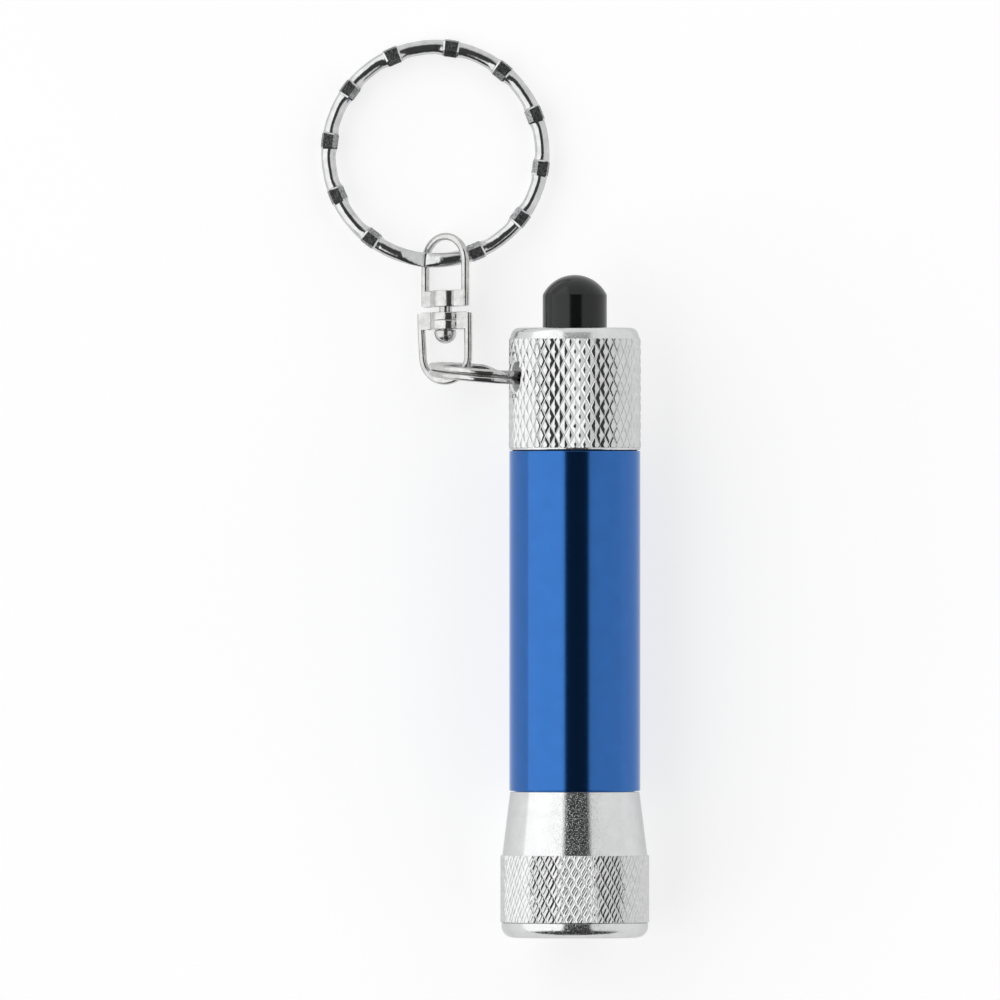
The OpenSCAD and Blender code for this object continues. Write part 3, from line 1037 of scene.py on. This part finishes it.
def build_split_ring(materials):
    """Two turns of round wire, with the crossing between them on the side towards the table."""
    sides, half, play = 20, SPLIT_WIRE / 2, 0.003
    start, end, cross = 70.0, 70.0 + 700.0, (58.0 + 360, 92.0 + 360)
    rounding = ((3.0, 0.45), (2.4, 0.8), (1.2, 0.96))
    path = [(start - d, scale) for d, scale in rounding]
    path += [(turn, 1.0) for turn in np.arange(start, end + 0.1, 2.5)]
    path += [(end + d, scale) for d, scale in reversed(rounding)]
    rings = []
    for turn, scale in path:
        level = (2 * smooth((turn - cross[0]) / (cross[1] - cross[0])) - 1) * (half + play)
        rings.append(wire_ring(SPLIT_RADIUS, half * scale, level, radians(turn), sides))
    bm = skin(rings)
    tilt = Matrix.Rotation(radians(SPLIT_TILT[1]), 4, "Z") @ Matrix.Rotation(radians(SPLIT_TILT[0]), 4, "X")
    move(bm, Matrix.Translation(SPLIT_CENTRE) @ tilt)
    look = [materials["nickel_wire"]]
    return piece("split_ring_coil", bm, "split_ring", look, ["split_ring"])


# ---------------------------------------------------------------- swivel

SWIVEL_DIP = -3.0
LOWER_TURN = 26.0
UPPER_TURN = 38.5
BAIL_HALF = 2.8
COLLAR_DEPTH = 1.4


def swivel_place(turn):
    """The swivel's place, turned about its axis by so many degrees."""
    origin = Vector(joint("swivel_spin")["pos_m"]) / MM
    return (
        Matrix.Translation(origin)
        @ Matrix.Rotation(radians(SWIVEL_DIP), 4, "X")
        @ Matrix.Rotation(radians(-turn), 4, "Y")
    )


def wire_section():
    """A flattened wire's outline: across the bail's plane, and through it."""
    across, deep, corner = 0.41, 0.44, 0.36
    signs = ((1, 1), (-1, 1), (-1, -1), (1, -1))
    return rounded([(across * a, deep * b, corner) for a, b in signs], steps=6)


def bail_wire(path):
    """The bent wire along path, a list of (x, y) in the bail's plane."""
    section = wire_section()
    rings = []
    for i, p in enumerate(path):
        before, after = path[max(i - 1, 0)], path[min(i + 1, len(path) - 1)]
        way = Vector((after[0] - before[0], after[1] - before[1])).normalized()
        side = Vector((-way.y, way.x))
        rings.append([(p[0] + side.x * u, p[1] + side.y * u, w) for u, w in section])
    return skin(rings)


def collar(y, height, crease):
    """A collar with a bowed middle, flat cheeks, soft edges, and a line round it at the crease's height."""
    wide, deep, cheek = 1.75, COLLAR_DEPTH, 0.45
    cheek_x, inset_x = BAIL_HALF + 0.1, 2.5
    soft_edge = ((0, 0.16), (0.05, 0.05), (0.16, 0))
    crease_half, crease_deep = 0.07, 0.05
    outline = []
    for side in (1, -1):
        outline.append(Vector((side * cheek_x, side * cheek)))
        for turn in np.linspace(0, pi, 41):
            x, z = wide * cos(turn), deep * sin(turn)
            if z > cheek:
                outline.append(Vector((side * x, side * z)))
        outline.append(Vector((-side * cheek_x, side * cheek)))
    rows = [(y + up, inset) for up, inset in soft_edge]
    if crease:
        middle = y + crease
        rows += [(middle - crease_half, 0), (middle, crease_deep), (middle + crease_half, 0)]
    rows += [(y + height - down, inset) for down, inset in reversed(soft_edge)]
    rings = []
    for level, inset in rows:
        across, through = 1 - inset / inset_x, 1 - inset / deep
        rings.append([(p.x * across, level, p.y * through) for p in outline])
    return skin(rings)


def build_bail(name, node, body, turn, path, collar_y, collar_h, crease, hole_r, materials):
    """A bent wire with a drilled collar across its open end."""
    place = swivel_place(turn)
    obj = new_object(name, to_mesh(move(bail_wire(path), place), name))
    ring = new_object("collar", to_mesh(move(collar(collar_y, collar_h, crease), place), "collar"))
    combine(obj, ring, "UNION")
    below, above = collar_y - 1, collar_y + collar_h + 1
    drill = lathe([(0, below), (hole_r, below), (hole_r, above), (0, above)], 48, closed=False)
    combine(obj, new_object("drill", to_mesh(move(drill, place), "drill")), "DIFFERENCE")
    return finish_piece(obj, body, [materials["nickel_wire"]], [node], sharp=32)


# Each collar's lower end along the swivel's axis, and its height
LOWER_COLLAR = (-2.3, 1.9)
UPPER_COLLAR = (0.2, 1.8)
# How far from a collar's far side the wire's ends stop
WIRE_STOP = 0.1


def build_lower_bail(materials):
    """The swivel's lower half, which hangs on the split ring."""
    y, height = LOWER_COLLAR
    bend, shoulder, crease, hole_r = -5.19, -2.6, 1.0, 0.8
    wire_end = y + height - WIRE_STOP
    left_foot = [(-2.95, wire_end), (-2.9, shoulder)]
    right_foot = [(BAIL_HALF, shoulder), (BAIL_HALF, wire_end)]
    path = left_foot + arc((0.03, bend), BAIL_HALF - 0.03, 180, 360, 28) + right_foot
    shape = (LOWER_TURN, path, y, height, crease, hole_r)
    build_bail("lower_bail_wire", "lower_bail", "lower_bail", *shape, materials)


def build_upper_bail(materials):
    """The swivel's upper half, which holds the key ring."""
    y, height = UPPER_COLLAR
    bend, crease, hole_r = 5.15, 0, 0.72
    wire_end = y + WIRE_STOP
    path = [(-BAIL_HALF, wire_end)] + arc((0, bend), BAIL_HALF, 180, 0, 28) + [(BAIL_HALF, wire_end)]
    shape = (UPPER_TURN, path, y, height, crease, hole_r)
    build_bail("upper_bail_wire", "upper_bail", "upper_bail", *shape, materials)


def build_rivet(materials):
    """The swivel's pin, with its domed head under the lower collar."""
    pin_r, rivet_r, rivet_h, play, edge = 0.73, 1.2, 1.5, 0.06, 0.12
    head = LOWER_COLLAR[0] - play
    top = UPPER_COLLAR[0] + UPPER_COLLAR[1]
    sphere = (rivet_r**2 + rivet_h**2) / (2 * rivet_h)
    reach = np.degrees(acos(max(-1, (sphere - rivet_h) / sphere)))
    dome = arc((0, head - rivet_h + sphere), sphere, -90, -90 + reach, 14)
    outline = [
        *dome[:-1],
        (rivet_r, head - 0.1),
        (rivet_r - 0.1, head),
        (pin_r, head),
        (pin_r, top - edge),
        (pin_r - edge, top),
        (0, top),
    ]
    bm = move(lathe(outline, 64, closed=False), swivel_place(UPPER_TURN))
    piece("swivel_rivet", bm, "upper_bail", [materials["nickel_wire"]], ["swivel_pin"])


# ---------------------------------------------------------------- carried-over CAD nodes

CAD_LOOKS = {
    "reflector_plate": ["led_reflector"],
    "tinned_wire": ["led_leads"],
    "board_laminate": ["led_board"],
    "contact_brass": ["front_contact", "switch_terminal", "switch_retainer", "switch_contact"],
    "shrink_film": ["battery_sleeve"],
    "cell_steel": ["cell_1", "cell_2", "cell_3", "cell_4"],
    "spring_steel": ["battery_spring"],
    "switch_nylon": ["switch_housing"],
    "plunger_acetal": ["switch_plunger"],
}


def dress_cad_nodes(materials):
    """Gives the CAD nodes that are kept their materials."""
    for look, nodes in CAD_LOOKS.items():
        for name in nodes:
            obj = frame["nodes"][name]
            if not obj.material_slots:
                obj.data.materials.append(None)
            for slot in obj.material_slots:
                slot.material = materials[look]


# ---------------------------------------------------------------- studio


def build_floor(materials):
    """A plain pale floor under the object."""
    half, low = 1.6, cad_box[0].z
    centre = (cad_box[0] + cad_box[1]) / 2
    bm = bmesh.new()
    bmesh.ops.create_grid(bm, x_segments=8, y_segments=8, size=half)
    mesh = bpy.data.meshes.new("floor")
    bm.to_mesh(mesh)
    bm.free()
    floor = new_object("floor", mesh)
    floor.location = (centre.x, centre.y, low)
    mesh.materials.append(materials["paper_floor"])


def step(tree, value, start, end):
    """0 before start, 1 after end, and smooth between."""
    made = add_node(
        tree,
        "ShaderNodeMapRange",
        {"Value": value, "From Min": start, "From Max": end},
        interpolation_type="SMOOTHSTEP",
    )
    return made.outputs[0]


def times(tree, value, factor):
    """A socket's value times a factor."""
    return add_node(tree, "ShaderNodeMath", {0: value, 1: factor}, operation="MULTIPLY").outputs[0]


def build_light():
    """A world of two broad soft panels, left and right of a narrow dark gap overhead, with a bright far
    end and a dark near end. The numbers after each direction are where its panel starts and is full."""
    left, right, far_end, near_end, gap = 1.5, 0.98, 0.95, 0.05, 0.062
    world = bpy.data.worlds.new("soft_studio")
    scene.world = world
    world.use_nodes = True
    tree = world.node_tree
    background = tree.nodes["Background"]
    way = add_node(tree, "ShaderNodeTexCoord").outputs["Generated"]
    parts = add_node(tree, "ShaderNodeSeparateXYZ", {"Vector": way}).outputs
    on_left = step(tree, times(tree, parts[0], -1.0), 0.25, 0.36)
    on_right = step(tree, parts[0], 0.36, 0.48)
    on_far_end = step(tree, parts[1], 0.50, 0.80)
    on_near_end = step(tree, times(tree, parts[1], -1.0), 0.54, 0.76)
    glow = gap
    layers = ((on_far_end, far_end), (on_left, left), (on_right, right), (on_near_end, near_end))
    for share, level in layers:
        glow = add_node(
            tree, "ShaderNodeMix", {"Factor": share, "A": glow, "B": level}, data_type="FLOAT"
        ).outputs[0]
    tree.links.new(glow, background.inputs["Strength"])
    background.inputs["Color"].default_value = (1.0, 1.0, 1.0, 1.0)


def build_camera():
    """Straight above the torch, as in the photograph."""
    width, distance, sensor = 109.65 * MM, 4.0, 36.0
    centre = (-8.2 * MM, 48.0 * MM)
    data = bpy.data.cameras.new("camera")
    data.sensor_width = sensor
    data.lens = sensor * distance / width
    data.clip_start, data.clip_end = 0.1, 20.0
    camera = bpy.data.objects.new("camera", data)
    scene.collection.objects.link(camera)
    camera.location = (*centre, distance)
    scene.camera = camera


scene.view_settings.view_transform = "Standard"
materials = {name: surface(name, **look) for name, look in LOOKS.items()}
build_camera()
build_light()
build_floor(materials)
build_head(materials)
build_cap(materials)
build_barrel(materials)
build_button(materials)
build_switch_spring(materials)
for seal in SEALS:
    build_seal(*seal, materials)
build_lens(materials)
for led in (1, 2, 3):
    build_led(led, materials)
build_key_ring(materials)
build_split_ring(materials)
build_lower_bail(materials)
build_upper_bail(materials)
build_rivet(materials)
dress_cad_nodes(materials)
